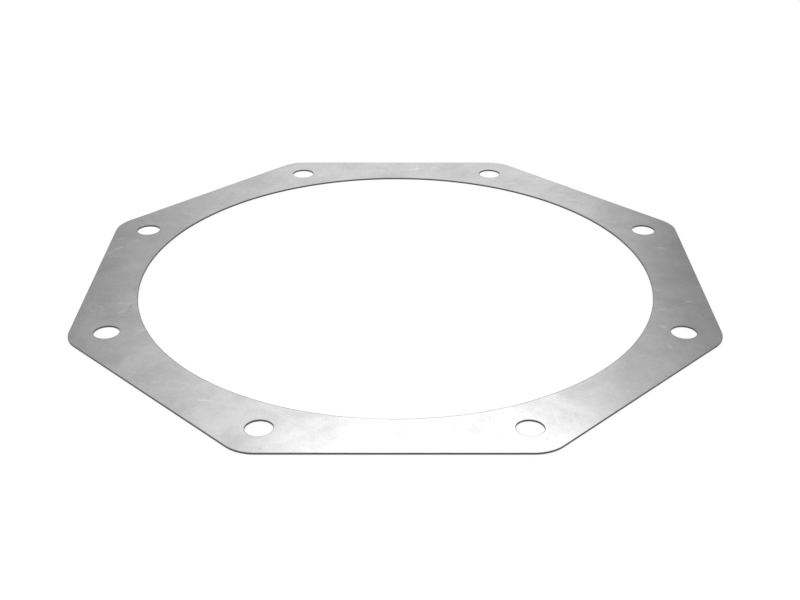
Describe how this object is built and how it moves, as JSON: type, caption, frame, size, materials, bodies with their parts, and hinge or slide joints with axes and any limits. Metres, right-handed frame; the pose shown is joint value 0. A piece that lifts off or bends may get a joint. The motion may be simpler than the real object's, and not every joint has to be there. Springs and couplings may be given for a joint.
{
  "type": "flange gasket",
  "caption": "Thin octagonal steel gasket plate with rounded corners, a wide round bore and a bolt hole inside each corner, clamped between two bolted flanges.",
  "frame": {"origin": "centre of the bore on the lower sealing face, so the plate rests on z = 0", "axes": "+Z is the plate's normal and the bore's axis; one pair of the plate's sides faces along X and another pair along Y"},
  "size_m": [0.328, 0.328, 0.001],
  "materials": {
    "sheet_steel": "cold-rolled sheet, satin, faintly clouded"
  },
  "bodies": {
    "root": {"gasket_plate": "sheet_steel"}
  },
  "joints": []
}
